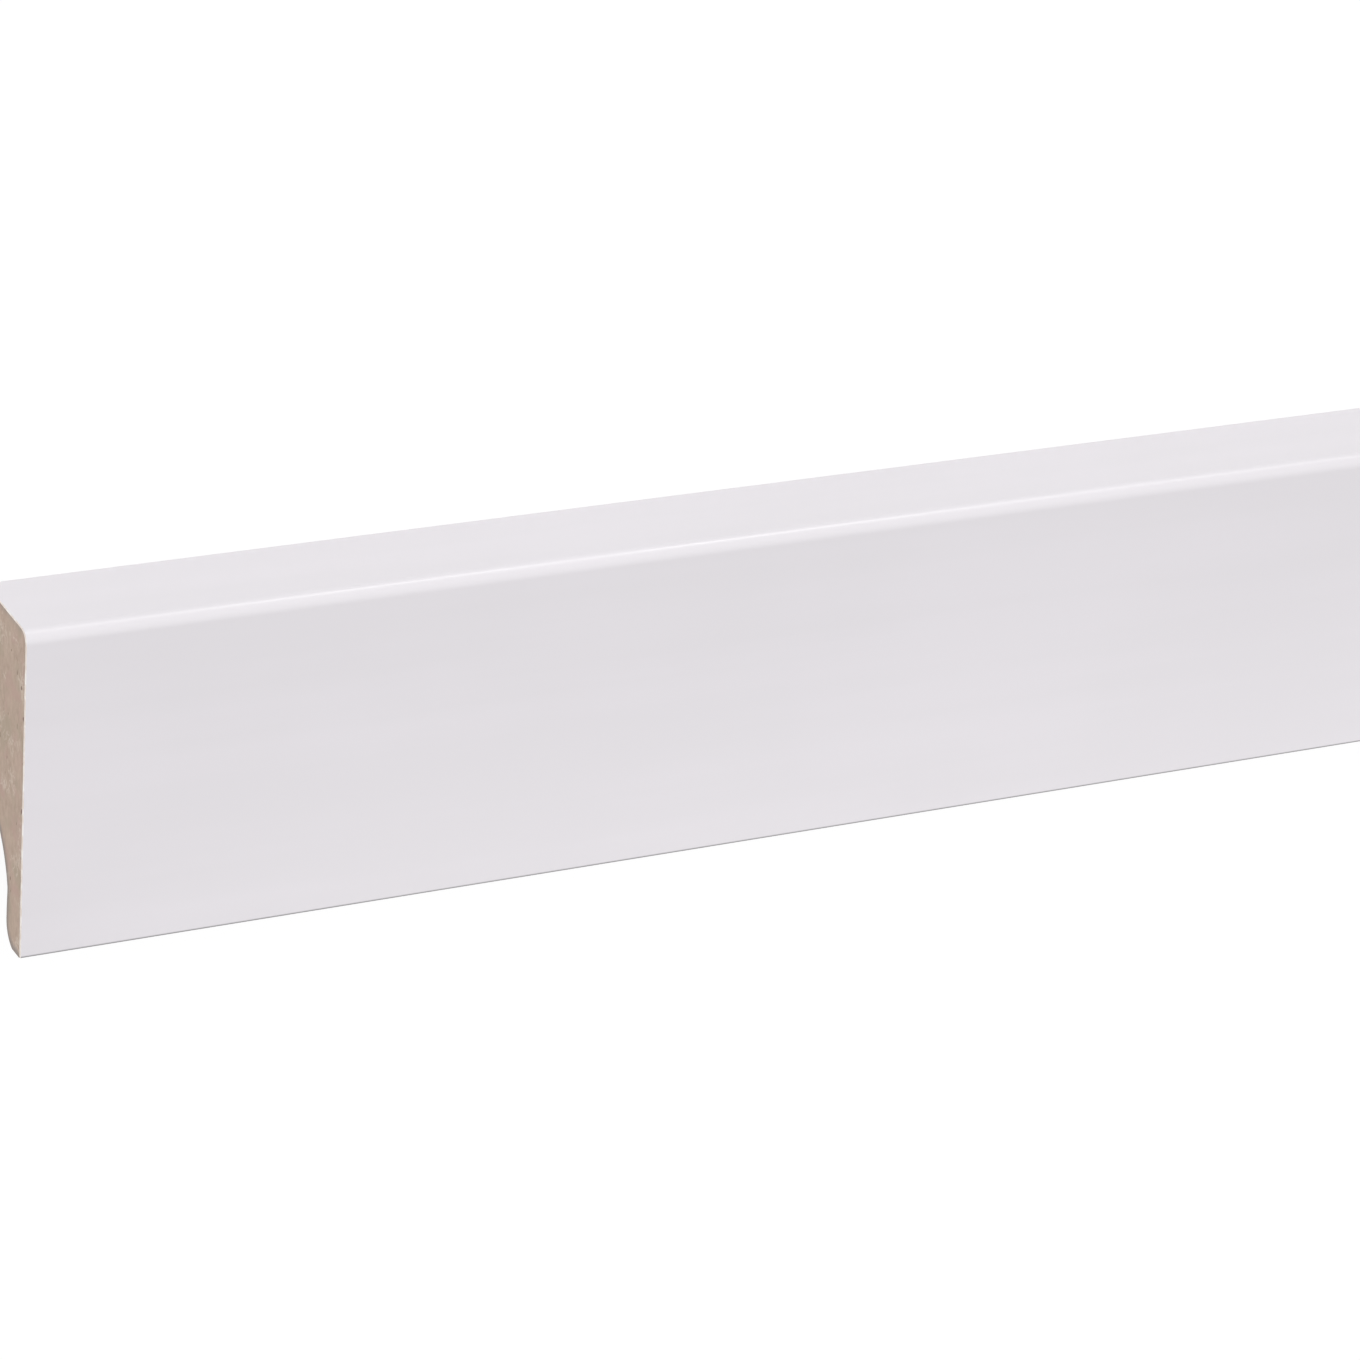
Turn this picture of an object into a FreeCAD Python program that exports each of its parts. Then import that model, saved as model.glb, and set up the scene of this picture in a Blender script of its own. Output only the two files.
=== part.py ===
"""A length of plain modern skirting board, machined from MDF and coated white.

The board is one piece of stock. It lies on its flat back with the show face up, as it is stored.
X runs along the board, +Y points to its top edge and +Z out of the show face. The origin is on the
floor, in the middle of the board's length and height. All sizes are in millimetres and degrees.
"""
import FreeCAD, Part
import math
import os

# Overall size
LENGTH = 2400.0
HEIGHT = 58.0
THICKNESS = 19.0

# Top edge: it falls towards the room and turns over a rounded nose into the show face
TOP_FALL_ANGLE = 3.0
NOSE_RADIUS = 2.4
BACK_ARRIS_RADIUS = 0.6

# Cable cove: a hollow between the flat back and the neck of the foot
COVE_RADIUS = 19.5
COVE_HEIGHT = 24.5
NECK_THICKNESS = 6.5
NECK_HEIGHT = 9.9

# Foot: its heel swells a little behind the neck and is tucked in below, down to the flat bottom
HEEL_SWELL = 0.2
HEEL_HEIGHT = 4.3
HEEL_TUCK = 2.97
FLOOR_ARRIS_RADIUS = 0.5


def point(depth, height):
    """A point of the left end, by its depth behind the show face and its height above the floor line."""
    return FreeCAD.Vector(-LENGTH / 2, height - HEIGHT / 2, THICKNESS - depth)


def arc(start, end, centre):
    """The short arc about a centre from one point to another."""
    middle = (start + end) / 2 - centre
    middle.normalize()
    return Part.Arc(start, centre + middle * start.distanceToPoint(centre), end)


def nose():
    """The round between the show face and the top, which touches both."""
    slope = math.radians(TOP_FALL_ANGLE)
    run = THICKNESS - BACK_ARRIS_RADIUS - NOSE_RADIUS
    depth = NOSE_RADIUS
    height = (HEIGHT - BACK_ARRIS_RADIUS - run * math.tan(slope)
              - (NOSE_RADIUS - BACK_ARRIS_RADIUS) / math.cos(slope))
    high = point(depth - NOSE_RADIUS * math.sin(slope), height + NOSE_RADIUS * math.cos(slope))
    return arc(point(0, height), high, point(depth, height))


def back_arris():
    """The small round between the top and the back. Its crown is the board's full height."""
    slope = math.radians(TOP_FALL_ANGLE)
    depth = THICKNESS - BACK_ARRIS_RADIUS
    height = HEIGHT - BACK_ARRIS_RADIUS
    high = point(depth - BACK_ARRIS_RADIUS * math.sin(slope), height + BACK_ARRIS_RADIUS * math.cos(slope))
    return arc(high, point(THICKNESS, height), point(depth, height))


def cove():
    """The hollow of the back, from the end of the flat to the neck, with its centre behind the foot."""
    top = point(THICKNESS, COVE_HEIGHT)
    neck = point(NECK_THICKNESS, NECK_HEIGHT)
    chord = top - neck
    across = FreeCAD.Vector(0, chord.z, -chord.y)
    across.normalize()
    reach = math.sqrt(COVE_RADIUS ** 2 - (chord.Length / 2) ** 2)
    return arc(top, neck, (top + neck) / 2 + across * reach)


def heel_point(height, inset):
    """A point at a height, and at an inset from the depth of the heel's thickest place."""
    return point(NECK_THICKNESS + HEEL_SWELL - inset, height)


def heel_centre(height, inset):
    """The centre of the arc that runs upright at the heel's thickest place and ends at a heel_point."""
    radius = ((height - HEEL_HEIGHT) ** 2 + inset ** 2) / (2 * inset)
    return heel_point(HEEL_HEIGHT, radius)


def bulge():
    """The long shallow curve of the heel's back, from the neck down to its thickest place."""
    neck = heel_point(NECK_HEIGHT, HEEL_SWELL)
    return arc(neck, heel_point(HEEL_HEIGHT, 0), heel_centre(NECK_HEIGHT, HEEL_SWELL))


def heel():
    """The round of the heel, from its thickest place down to the foot's flat bottom."""
    bottom = heel_point(0, HEEL_TUCK)
    return arc(heel_point(HEEL_HEIGHT, 0), bottom, heel_centre(0, HEEL_TUCK))


def floor_arris():
    """The small round between the foot's flat bottom and the show face."""
    radius = FLOOR_ARRIS_RADIUS
    return arc(point(radius, 0), point(0, radius), point(radius, radius))


def section():
    """The closed outline of the board: the six rounds in order, with straight runs where they stand apart."""
    touching = 1e-6
    rounds = [nose(), back_arris(), cove(), bulge(), heel(), floor_arris()]
    edges = []
    for here, ahead in zip(rounds, rounds[1:] + rounds[:1]):
        edges.append(here.toShape())
        if not here.EndPoint.isEqual(ahead.StartPoint, touching):
            edges.append(Part.LineSegment(here.EndPoint, ahead.StartPoint).toShape())
    return Part.Wire(edges)


def skirting_board():
    """The section run out to the full length, with both ends sawn square."""
    return Part.Face(section()).extrude(FreeCAD.Vector(LENGTH, 0, 0))


board = skirting_board()
os.makedirs("parts", exist_ok=True)
board.exportStep("parts/skirting_board.step")

box = board.BoundBox
print(f"skirting_board: {box.XLength:.2f} x {box.YLength:.2f} x {box.ZLength:.2f} mm")
print(f"section {board.Volume / LENGTH:.1f} mm2, valid {board.isValid()}, solids {len(board.Solids)}")
print(f"centre of mass {board.CenterOfMass}")
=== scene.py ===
# %% [markdown]
# A length of skirting board, seen at its sawn left end.
# The real board is one strip of MDF: a cutter shapes it, a white coating is wrapped round its face, nose
# and top, and a saw cuts it to length. What makes it look real is small: the bright line where the nose
# turns over, the thin grey line along the foot, and the brown sawn end with the coating's pale edge round it.
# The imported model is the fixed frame. It gives the overall size, and everything else is placed from it.

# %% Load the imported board
import math
import bmesh
import bpy
import numpy as np
from mathutils import Matrix, Vector
from mathutils.geometry import delaunay_2d_cdt


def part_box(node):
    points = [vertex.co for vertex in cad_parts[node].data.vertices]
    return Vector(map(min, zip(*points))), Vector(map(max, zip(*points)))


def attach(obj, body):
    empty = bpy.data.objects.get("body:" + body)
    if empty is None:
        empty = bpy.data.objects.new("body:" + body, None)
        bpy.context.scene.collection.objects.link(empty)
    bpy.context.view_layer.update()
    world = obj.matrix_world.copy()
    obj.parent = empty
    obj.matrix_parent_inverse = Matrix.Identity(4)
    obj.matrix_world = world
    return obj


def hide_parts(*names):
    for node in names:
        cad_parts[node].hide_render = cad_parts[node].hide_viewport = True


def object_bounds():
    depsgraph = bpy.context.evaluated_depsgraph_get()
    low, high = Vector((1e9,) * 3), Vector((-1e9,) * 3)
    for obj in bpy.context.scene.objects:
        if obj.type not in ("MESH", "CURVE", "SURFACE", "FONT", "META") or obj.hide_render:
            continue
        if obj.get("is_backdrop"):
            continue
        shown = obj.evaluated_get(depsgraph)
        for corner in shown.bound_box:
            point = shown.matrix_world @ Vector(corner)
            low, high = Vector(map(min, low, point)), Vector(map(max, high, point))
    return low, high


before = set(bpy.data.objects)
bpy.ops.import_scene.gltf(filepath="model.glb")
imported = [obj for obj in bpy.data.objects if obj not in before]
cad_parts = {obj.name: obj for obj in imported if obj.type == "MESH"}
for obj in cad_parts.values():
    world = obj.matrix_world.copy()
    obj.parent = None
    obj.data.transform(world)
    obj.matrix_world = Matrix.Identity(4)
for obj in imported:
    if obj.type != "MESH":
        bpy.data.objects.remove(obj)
packed_low, packed_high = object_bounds()
low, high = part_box("skirting_board")
length, height, thickness = high - low
MM = 0.001
print(f"packed board: {length / MM:.1f} x {height / MM:.1f} x {thickness / MM:.1f} mm")

# %% [markdown]
# The section is what a moulding is: one outline, the same all along. It is drawn here once more from the
# sizes of the cutters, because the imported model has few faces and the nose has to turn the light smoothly.
# The coating is a finish and not a layer that comes off, so the only sizes it needs are how far it is
# wrapped under the foot, and how wide its cut edge shows on the face, on the top and below.

# %% Sizes of the cutters and the coating
TOP_FALL_ANGLE = math.radians(3.0)
NOSE_RADIUS = 2.4 * MM
BACK_ARRIS_RADIUS = 0.6 * MM
COVE_RADIUS = 19.5 * MM
COVE_HEIGHT = 24.5 * MM
NECK_THICKNESS = 6.5 * MM
NECK_HEIGHT = 9.9 * MM
HEEL_SWELL = 0.2 * MM
HEEL_HEIGHT = 4.3 * MM
HEEL_TUCK = 2.97 * MM
FLOOR_ARRIS_RADIUS = 0.5 * MM

COATING_UNDER_FOOT = 2.6 * MM
COATING_ON_FACE = 0.45 * MM
COATING_ON_TOP = 0.25 * MM
COATING_BELOW = 0.06 * MM
print(f"cove {COVE_RADIUS / MM:.1f} mm, nose {NOSE_RADIUS / MM:.1f} mm, coating wrapped "
      f"{COATING_UNDER_FOOT / MM:.1f} mm under the foot")

# %% [markdown]
# An outline of a moulding needs only two kinds of run: straight ones and arcs. A curve object with handles
# could hold them, but plain points let each straight run have a point close beside its ends. Without those,
# smooth shading would bend the light across the flat faces. Each run leaves out its last point, because
# the next run starts there.

# %% Straight runs and arcs
POINT_BESIDE_END = 0.15 * MM


def straight(start, end, parts):
    """Points along a straight run, with one close beside each end, and without the last."""
    start, end = Vector(start), Vector(end)
    share = POINT_BESIDE_END / (end - start).length
    steps = [0.0, share, *(i / parts for i in range(1, parts)), 1 - share]
    return [start.lerp(end, step) for step in steps]


def arc(start, end, centre, parts):
    """Points along the short arc about a centre, without the last."""
    start, end, centre = Vector(start), Vector(end), Vector(centre)
    first, last = start - centre, end - centre
    turn = math.atan2(first.cross(last), first.dot(last))
    return [centre + Matrix.Rotation(turn * i / parts, 2) @ first for i in range(parts)]


quarter = arc((0, 1), (1, 0), (0, 0), 3)
print("a quarter round in three parts starts:", [(round(x, 2), round(y, 2)) for x, y in quarter])

# %% [markdown]
# Each run is written as depth behind the show face and rise above the floor line, as a joiner would measure
# it. The walk starts where the coating ends under the foot, and goes up the face and over the top to the
# back. The nose touches both the face and the falling top, so its rise follows from the top's fall. The
# number that ends each run is how many parts it is cut into, and the nose has many because light plays on it.

# %% The coated runs
def coated_runs():
    """From the coating's end under the foot, up the show face and over the nose and top to the back."""
    slope = TOP_FALL_ANGLE
    run = thickness - BACK_ARRIS_RADIUS - NOSE_RADIUS
    nose_rise = (height - BACK_ARRIS_RADIUS - run * math.tan(slope)
                 - (NOSE_RADIUS - BACK_ARRIS_RADIUS) / math.cos(slope))
    nose_top = (NOSE_RADIUS - NOSE_RADIUS * math.sin(slope), nose_rise + NOSE_RADIUS * math.cos(slope))
    back_depth, back_rise = thickness - BACK_ARRIS_RADIUS, height - BACK_ARRIS_RADIUS
    back_top = (back_depth - BACK_ARRIS_RADIUS * math.sin(slope),
                back_rise + BACK_ARRIS_RADIUS * math.cos(slope))
    floor = FLOOR_ARRIS_RADIUS
    return [
        *straight((COATING_UNDER_FOOT, 0), (floor, 0), 2),
        *arc((floor, 0), (0, floor), (floor, floor), 10),
        *straight((0, floor), (0, nose_rise), 14),
        *arc((0, nose_rise), nose_top, (NOSE_RADIUS, nose_rise), 18),
        *straight(nose_top, back_top, 5),
        *arc(back_top, (thickness, back_rise), (back_depth, back_rise), 10),
        Vector((thickness, back_rise)),
    ]


coated_points = coated_runs()
print(f"{len(coated_points)} coated points")

# %% [markdown]
# The walk goes on down the bare rear: the flat back, the cove, the heel and the rest of the foot. A free
# curve could follow these hollows, but a cutter makes arcs, and an arc is fixed by its two ends and one size
# more. For the cove that is its radius. The heel's two arcs touch where it is thickest, so both of their
# centres lie level with that place.

# %% The bare runs
def heel_centre(rise, inset):
    """The centre of the arc that is upright where the heel is thickest, and ends at a rise and inset."""
    radius = ((rise - HEEL_HEIGHT) ** 2 + inset ** 2) / (2 * inset)
    return NECK_THICKNESS + HEEL_SWELL - radius, HEEL_HEIGHT


def bare_runs():
    """Down the flat back, round the cove, neck and heel, and under the foot to the coating's end."""
    cove_top, neck = Vector((thickness, COVE_HEIGHT)), Vector((NECK_THICKNESS, NECK_HEIGHT))
    chord = neck - cove_top
    off_chord = Vector((-chord.y, chord.x)).normalized()
    reach = math.sqrt(COVE_RADIUS ** 2 - (chord.length / 2) ** 2)
    cove_centre = (cove_top + neck) / 2 + off_chord * reach
    thickest = (NECK_THICKNESS + HEEL_SWELL, HEEL_HEIGHT)
    bottom = (NECK_THICKNESS + HEEL_SWELL - HEEL_TUCK, 0)
    back_rise = height - BACK_ARRIS_RADIUS
    return [
        *straight((thickness, back_rise), cove_top, 9)[1:],
        *arc(cove_top, neck, cove_centre, 26),
        *arc(neck, thickest, heel_centre(NECK_HEIGHT, HEEL_SWELL), 6),
        *arc(thickest, bottom, heel_centre(0, HEEL_TUCK), 12),
        *straight(bottom, (COATING_UNDER_FOOT, 0), 2),
    ]


bare_points = bare_runs()
print(f"{len(bare_points)} bare points")

# %% [markdown]
# Together the two walks close the outline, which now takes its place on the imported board. Each point also
# needs its way out: the mean direction of the two runs beside it, turned a quarter. A mesh could give
# normals, but only once it is made, and the way out is needed to make it.

# %% The whole outline and its way out
outline = np.array([(low.y + rise, high.z - depth) for depth, rise in coated_points + bare_points])
ahead = np.roll(outline, -1, 0) - outline
run_lengths = np.linalg.norm(ahead, axis=1)
ahead /= run_lengths[:, None]
tangent = ahead + np.roll(ahead, 1, 0)
tangent /= np.linalg.norm(tangent, axis=1)[:, None]
outward = np.stack([-tangent[:, 1], tangent[:, 0]], 1)
print(f"outline: {len(outline)} points, {run_lengths.sum() / MM:.1f} mm round")

# %% [markdown]
# The sawn end is the one place where the photo shows the board's inside, so it gets a mesh of its own: a
# narrow ring along the outline, which holds the coating's cut edge, and inside it thousands of small
# triangles that the saw marks and torn fibres can lift. One n-gon would be simpler but can't hold relief.
# Two questions come up on the way: does a point lie inside the outline, and how deep. Rays cast at a mesh
# would answer them too, but in a flat outline whole arrays of points can be asked at once.

# %% Which points lie inside, and how deep
def inside(points, loop):
    """Whether each point lies in a closed loop: a ray from it crosses the loop an odd number of times."""
    here, there = loop[None], np.roll(loop, -1, 0)[None]
    run = there - here
    y, z = points[:, None, 0], points[:, None, 1]
    spans = (here[..., 1] > z) != (there[..., 1] > z)
    with np.errstate(divide="ignore", invalid="ignore"):
        crossing = here[..., 0] + (z - here[..., 1]) * run[..., 0] / run[..., 1]
    return (spans & (y < crossing)).sum(1) % 2 == 1


def depth_inside(points, loop):
    """How far each point lies from the nearest place of a closed loop, and which run of it that is."""
    start, run = loop[None], (np.roll(loop, -1, 0) - loop)[None]
    share = ((points[:, None] - start) * run).sum(2) / (run ** 2).sum(2)
    nearest = start + np.clip(share, 0, 1)[..., None] * run
    depths = np.linalg.norm(points[:, None] - nearest, axis=2)
    return depths.min(1), depths.argmin(1)


print("a point at the section's middle lies inside:", inside(outline.mean(0)[None], outline)[0])

# %% [markdown]
# Where the saw has cut the coating, its edge is widest on the show face, narrower on the top and only a hair
# under the foot, and chipped a little here and there. The ring follows it. Inside the ring a square grid of
# points is shifted at random, so that no rows show, and a Delaunay triangulation joins the coarse outline to
# the fine middle with no gap and no stray edge.

# %% The points and triangles of a sawn end
SAWN_GRAIN = 0.36 * MM
GRAIN_SHIFT = 0.3
GRAIN_FROM_RING = 0.6 * SAWN_GRAIN
CHIPPED_TO = 0.8
SAME_PLACE = 1e-9
count = len(outline)
grain_random = np.random.default_rng(58)


def edge_and_middle():
    """The inner line of the coating's cut edge, and the shifted grid of points well inside it."""
    faces_out, faces_down = np.clip(outward[:, 1:], 0, 1), np.clip(-outward[:, :1], 0, 1)
    edge_width = COATING_ON_TOP + (COATING_ON_FACE - COATING_ON_TOP) * faces_out
    edge_width += (COATING_BELOW - COATING_ON_TOP) * faces_down
    edge_width *= grain_random.uniform(CHIPPED_TO, 1.0, edge_width.shape)
    ring = outline - outward * edge_width
    heart = outline - outward * (edge_width + GRAIN_FROM_RING)
    across, through = np.arange(low.y, high.y, SAWN_GRAIN), np.arange(low.z, high.z, SAWN_GRAIN)
    grid = np.stack(np.meshgrid(across, through, indexing="ij"), -1).reshape(-1, 2)
    grid += grain_random.uniform(-GRAIN_SHIFT, GRAIN_SHIFT, grid.shape) * SAWN_GRAIN
    return ring, grid[inside(grid, heart)]


def triangulated(ring, middle):
    """The places and triangles of the end, and from which given point each place comes."""
    points = [Vector(point) for point in np.concatenate([outline, ring, middle])]
    ring_edges = [(count + i, count + (i + 1) % count) for i in range(count)]
    rim = list(range(count))[::-1]
    at, _, faces, origins, _, _ = delaunay_2d_cdt(points, ring_edges, [rim], 1, SAME_PLACE)
    return np.array(at), faces, np.array([origin[0] for origin in origins])


at, end_faces, source = triangulated(*edge_and_middle())
end_mesh = bpy.data.meshes.new("sawn_end")
end_mesh.from_pydata([(0, y, z) for y, z in at], [], end_faces)
print(f"sawn end: {len(at)} points, {len(end_faces)} triangles")

# %% [markdown]
# The walk began with the coated points, so a point's number says what it is: on the outline or on the ring,
# coated or bare. The cut edge is every face that touches the outline and has coated points only. The small
# arris over the floor gets painted shade where it has begun to face down, but not as far as the flat bottom
# itself: a grey that stands in for the shade under a board that stands on its foot. The bare heel gets a
# value for that shade too, but only the coating reads it.

# %% Coated, cut and shade-painted places
PAINTED_SHADE_FULL_AT = 0.4
PAINTED_SHADE_ENDS_AT = 0.995
PAINTED_SHADE_FADE = 0.1

on_outline = source < count
on_ring = (source >= count) & (source < 2 * count)
is_coated = (source % count < len(coated_points)) & (on_outline | on_ring)
is_cut_edge = np.array([any(on_outline[v] for v in f) and all(is_coated[v] for v in f) for f in end_faces])
print(f"{is_cut_edge.sum()} triangles on the coating's cut edge, {on_ring.sum()} points on its inner line")

way_out = np.zeros((len(at), 3))
way_out[on_outline, 1:] = outward[source[on_outline]]
downwards = -way_out[:, 1]
# Painted shade on the floor arris: it grows as a point turns to face down, and fades out before the flat
# bottom.
painted_shade = np.clip(downwards / PAINTED_SHADE_FULL_AT, 0, 1) * np.clip((PAINTED_SHADE_ENDS_AT - downwards) / PAINTED_SHADE_FADE, 0, 1)
print(f"{((painted_shade > 0) & is_coated).sum()} points on the worn arris")

# %% [markdown]
# The skins of the board are its densest and darkest fibre, and the photo shows them darkest below and
# behind, less so at the top, and least at the show face. So each point takes the strength of the nearest
# run of the outline, and less of it the deeper it lies. A noise could darken places at random, but not one
# side more than another.

# %% The darker skins
SKIN_DEPTH = 2.0 * MM
SKIN_ON_TOP = 0.55
SKIN_ON_FACE = 0.35
MIDWAY = 0.5

depths, nearest_run = depth_inside(at, outline)
unseen_side = np.clip(MIDWAY - outward.sum(1), 0, 1)
show_side = np.clip(outward[:, 1], 0, 1)
strength = SKIN_ON_TOP + (1 - SKIN_ON_TOP) * unseen_side - (SKIN_ON_TOP - SKIN_ON_FACE) * show_side
skin = strength[nearest_run] * np.clip(1 - depths / SKIN_DEPTH, 0, 1)
print(f"{(skin > 0).sum()} points in the skins, the deepest of all {depths.max() / MM:.1f} mm inside")

# %% [markdown]
# What a point or face is goes with it as a named attribute, which the node tree and the materials both read.
# Paint or a picture could mark the same places, but an attribute is exact and needs no picture. The last one
# here says how far round the outline a point lies, which the map for baking needs.

# %% What the end's mesh carries
def keep(name, kind, domain, values):
    """Stores values on the end's mesh as a named attribute."""
    field = "vector" if kind == "FLOAT_VECTOR" else "value"
    stored = end_mesh.attributes.new(name, kind, domain)
    stored.data.foreach_set(field, np.asarray(values, np.float32).ravel())


way_round = np.concatenate([[0], np.cumsum(run_lengths)])
around = (way_round / way_round[-1])[source % count]
keep("way_out", "FLOAT_VECTOR", "POINT", way_out)
keep("coated", "FLOAT", "POINT", is_coated)
keep("outer", "FLOAT", "POINT", on_outline)
keep("inner", "FLOAT", "POINT", ~(on_outline | on_ring))
keep("skin", "FLOAT", "POINT", skin)
keep("painted_shade", "FLOAT", "POINT", painted_shade)
keep("cut_edge", "FLOAT", "FACE", is_cut_edge)
keep("sawn", "FLOAT", "FACE", np.ones(len(end_faces)))
keep("around", "FLOAT", "POINT", around)
print("the end carries:", ", ".join(name for name in end_mesh.attributes.keys() if name[0] != "."))

# %% [markdown]
# Materials come next, because the tree that makes the board also hands them out. Nodes can be added one by
# one and linked by hand, but a helper makes each in a single call: an input that is given another node's
# output is linked, and any other value is set.

# %% Helpers for nodes
def node(tree, kind, inputs, output=0, **settings):
    """Adds a node to a tree, fills its inputs and returns one of its outputs."""
    made = tree.nodes.new(kind)
    for name, value in settings.items():
        setattr(made, name, value)
    for name, value in inputs.items():
        if isinstance(value, bpy.types.NodeSocket):
            tree.links.new(value, made.inputs[name])
        else:
            made.inputs[name].default_value = value
    return made.outputs[output]


def sums(tree, operation, *values):
    """A math node on numbers or outputs."""
    return node(tree, "ShaderNodeMath", dict(enumerate(values)), operation=operation)


print("helpers for any tree: node, sums")

# %% [markdown]
# Every finish here is made of the same few steps: stretch the object's own coordinates, draw a noise on
# them, and let it fade from one colour to another. Pictures could show the grain too, but noise on Object
# coordinates runs on over both ends and the whole length with no seam, and its size is that of the real one.

# %% Patterns, fades and blends
def stretched(tree, place, per_metre):
    """Object coordinates scaled along each axis, so that a pattern has its real size and direction."""
    return node(tree, "ShaderNodeMapping", {"Vector": place, "Scale": per_metre})


def noise(tree, place, scale=1.0, detail=3.0, roughness=0.5):
    """A noise pattern from 0 to 1 about one half."""
    return node(tree, "ShaderNodeTexNoise", {
        "Vector": place, "Scale": scale, "Detail": detail, "Roughness": roughness})


def fade(tree, value, start, end, low_value=0.0, high_value=1.0):
    """A value that runs smoothly between two levels while its input runs from start to end."""
    return node(tree, "ShaderNodeMapRange", {
        "Value": value, "From Min": start, "From Max": end, "To Min": low_value, "To Max": high_value},
        interpolation_type="SMOOTHSTEP")


def blend(tree, share, first, second):
    """A colour between two."""
    made = tree.nodes.new("ShaderNodeMix")
    made.data_type = "RGBA"
    for name, value in (("Factor_Float", share), ("A_Color", first), ("B_Color", second)):
        socket = next(s for s in made.inputs if s.identifier == name)
        if isinstance(value, bpy.types.NodeSocket):
            tree.links.new(value, socket)
        else:
            socket.default_value = value
    return next(s for s in made.outputs if s.identifier == "Result_Color")


print("helpers for patterns: stretched, noise, fade, blend")

# %% [markdown]
# Each finish starts as a plain Principled shader, which holds colour, gloss and relief in one node and comes
# through an export whole. The relief is a bump, because these grains are too fine for the mesh: the light
# sees them, but the outline stays as it is.

# %% A finish to start from
def finish_named(name, preview):
    """A new material with a plain Principled shader, its tree and its Object coordinates."""
    material = bpy.data.materials.new(name)
    material.use_nodes = True
    material.diffuse_color = (*preview, 1)
    tree = material.node_tree
    place = node(tree, "ShaderNodeTexCoord", {}, "Object")
    return material, tree, tree.nodes["Principled BSDF"], place


def add_bump(tree, shader, relief, distance):
    """Gives a shader a relief from 0 to 1, with its height as a length."""
    bump = node(tree, "ShaderNodeBump", {"Height": relief, "Strength": 1.0, "Distance": distance}, "Normal")
    tree.links.new(bump, shader.inputs["Normal"])


print("helpers for finishes: finish_named, add_bump")

# %% [markdown]
# The white coating is a satin foil or lacquer. It is almost even: what gives it away as a real surface is
# how it holds the light. One plain colour would look like plastic, so it moves by about two parts in a
# hundred in long faint streaks, and the gloss a little more. The fine dimples that a coated board has go into
# a bump a few thousandths of a millimetre high. The tint is a cool white with a trace of violet. On the
# small arris over the floor a dark grey is painted in as shade, the shade under a board that stands on its
# foot, and it draws the thin grey line along the foot.

# %% White coating
COATING_WHITE = (0.765, 0.737, 0.770, 1)
COATING_DEEP = (0.748, 0.722, 0.752, 1)
# A dark grey that is painted on the floor arris as shade, the shade a standing board has there.
COATING_PAINTED_SHADE = (0.235, 0.228, 0.235, 1)
COATING_ROUGHNESS = (0.28, 0.34)
COATING_RELIEF = 0.012 * MM
STREAKS_PER_METRE = (6, 130, 130)
CLOUDS_PER_METRE = 22.0
TONE_FADE = (0.38, 0.62)
GLOSS_FADE = (0.3, 0.7)
DRAWN_MARKS_PER_METRE = (70, 420, 420)
DIMPLES_PER_METRE = 750.0
DIMPLE_SHARE = 0.35


def white_coating():
    """Satin white, with faint streaks along the board, fine dimples and painted shade on the floor arris."""
    material, tree, shader, place = finish_named("white_coating", COATING_WHITE[:3])
    streaks = noise(tree, stretched(tree, place, STREAKS_PER_METRE), detail=4.0)
    cloud = noise(tree, place, CLOUDS_PER_METRE, detail=2.0)
    tone = sums(tree, "ADD", sums(tree, "MULTIPLY", streaks, 0.5), sums(tree, "MULTIPLY", cloud, 0.5))
    colour = blend(tree, fade(tree, tone, *TONE_FADE), COATING_DEEP, COATING_WHITE)
    # Painted shade: the floor arris blends to the dark grey where it faces down.
    painted_shade_share = node(tree, "ShaderNodeAttribute", {}, "Fac", attribute_name="painted_shade")
    colour = blend(tree, painted_shade_share, colour, COATING_PAINTED_SHADE)
    tree.links.new(colour, shader.inputs["Base Color"])
    tree.links.new(fade(tree, cloud, *GLOSS_FADE, *COATING_ROUGHNESS), shader.inputs["Roughness"])
    dimples = sums(tree, "MULTIPLY", noise(tree, place, DIMPLES_PER_METRE, detail=2.0), DIMPLE_SHARE)
    drawn = noise(tree, stretched(tree, place, DRAWN_MARKS_PER_METRE))
    add_bump(tree, shader, sums(tree, "ADD", dimples, drawn), COATING_RELIEF)
    return material


coating = white_coating()
print(f"{coating.name}: {len(coating.node_tree.nodes)} nodes")

# %% [markdown]
# Where the saw cuts the coating, its edge shows as a pale cream line: a cut through coating and glue, duller
# than the surface and chipped here and there. The sawn end's own finish could paint it, but the narrow ring
# of faces is there already, so the line gets a material of its own and a clean inner edge.

# %% The coating's cut edge
CUT_EDGE_CREAM = (0.79, 0.70, 0.63, 1)
CUT_EDGE_WHITE = (0.92, 0.89, 0.85, 1)
CUT_EDGE_ROUGHNESS = 0.6
CHIPS_PER_METRE = 420.0
CHIP_FADE = (0.4, 0.65)


def cut_coating():
    """Dull cream to white, broken up where the saw has chipped it."""
    material, tree, shader, place = finish_named("cut_coating", CUT_EDGE_CREAM[:3])
    chips = noise(tree, place, CHIPS_PER_METRE)
    colour = blend(tree, fade(tree, chips, *CHIP_FADE), CUT_EDGE_CREAM, CUT_EDGE_WHITE)
    tree.links.new(colour, shader.inputs["Base Color"])
    shader.inputs["Roughness"].default_value = CUT_EDGE_ROUGHNESS
    return material


coating_edge = cut_coating()
print(f"{coating_edge.name}: {len(coating_edge.node_tree.nodes)} nodes")

# %% [markdown]
# Bare MDF isn't one brown. The work is easier to judge when its colours are set apart from their places:
# light and dark fibre, two stains, the grey-brown of the skins, bark, and the pale curls of torn fibre.
# They are the colours of the surface itself, as linear values, and the lamps do the rest.

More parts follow.
